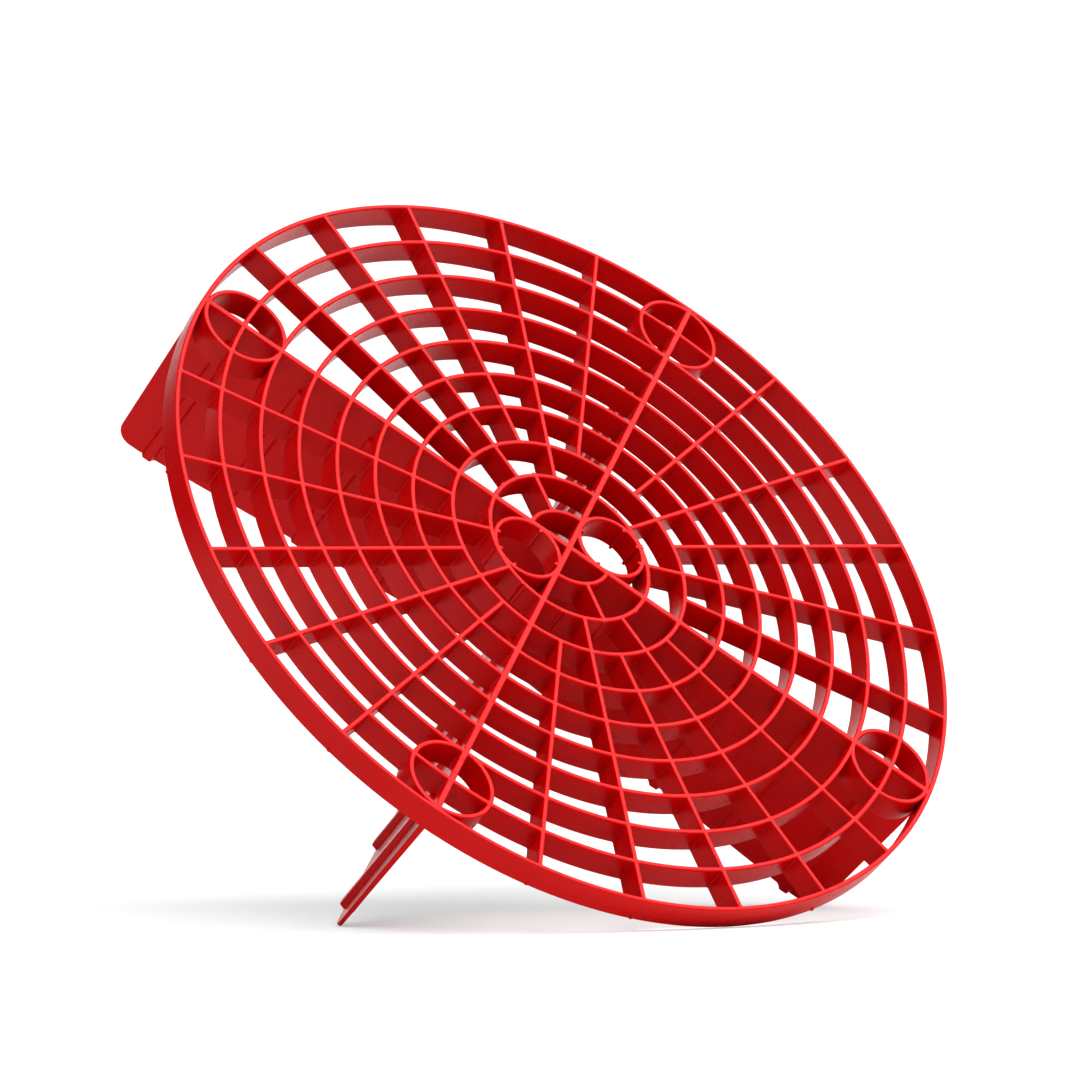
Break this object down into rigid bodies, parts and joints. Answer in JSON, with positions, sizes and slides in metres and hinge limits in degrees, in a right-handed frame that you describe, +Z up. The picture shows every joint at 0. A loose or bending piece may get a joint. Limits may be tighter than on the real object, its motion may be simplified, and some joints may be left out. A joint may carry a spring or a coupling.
{
  "type": "bucket grit trap insert",
  "caption": "Round wash-bucket insert: a flat grille of concentric rings and spokes on crossed upright ridged vanes, with finger holes beside its centre.",
  "frame": {"origin": "centre of the footprint, on the surface that the feet of the vanes stand on", "axes": "+Z is up through the grille; +X and +Y run along the two full-width ribs and the vanes below them; the finger holes lie at 45 and 225 degrees from +X"},
  "size_m": [0.26, 0.26, 0.0625],
  "materials": {
    "red_polypropylene": "semi-gloss injection-moulded polypropylene"
  },
  "bodies": {
    "root": {"outer_rim": "red_polypropylene", "ring_1": "red_polypropylene", "ring_2": "red_polypropylene", "ring_3": "red_polypropylene", "ring_4": "red_polypropylene", "ring_5": "red_polypropylene", "ring_6": "red_polypropylene", "ring_7": "red_polypropylene", "ring_8": "red_polypropylene", "hub_ring": "red_polypropylene", "main_rib_x": "red_polypropylene", "main_rib_y": "red_polypropylene", "spoke_015": "red_polypropylene", "spoke_030": "red_polypropylene", "spoke_045": "red_polypropylene", "spoke_060": "red_polypropylene", "spoke_075": "red_polypropylene", "spoke_105": "red_polypropylene", "spoke_120": "red_polypropylene", "spoke_135": "red_polypropylene", "spoke_150": "red_polypropylene", "spoke_165": "red_polypropylene", "spoke_195": "red_polypropylene", "spoke_210": "red_polypropylene", "spoke_225": "red_polypropylene", "spoke_240": "red_polypropylene", "spoke_255": "red_polypropylene", "spoke_285": "red_polypropylene", "spoke_300": "red_polypropylene", "spoke_315": "red_polypropylene", "spoke_330": "red_polypropylene", "spoke_345": "red_polypropylene", "hub_spokes": "red_polypropylene", "socket_right": "red_polypropylene", "socket_back": "red_polypropylene", "socket_left": "red_polypropylene", "socket_front": "red_polypropylene", "finger_hole_right": "red_polypropylene", "finger_hole_left": "red_polypropylene", "grip_nubs_right": "red_polypropylene", "grip_nubs_left": "red_polypropylene", "vane_right": "red_polypropylene", "vane_back": "red_polypropylene", "vane_left": "red_polypropylene", "vane_front": "red_polypropylene", "ridges_right": "red_polypropylene", "ridges_back": "red_polypropylene", "ridges_left": "red_polypropylene", "ridges_front": "red_polypropylene"}
  },
  "joints": []
}
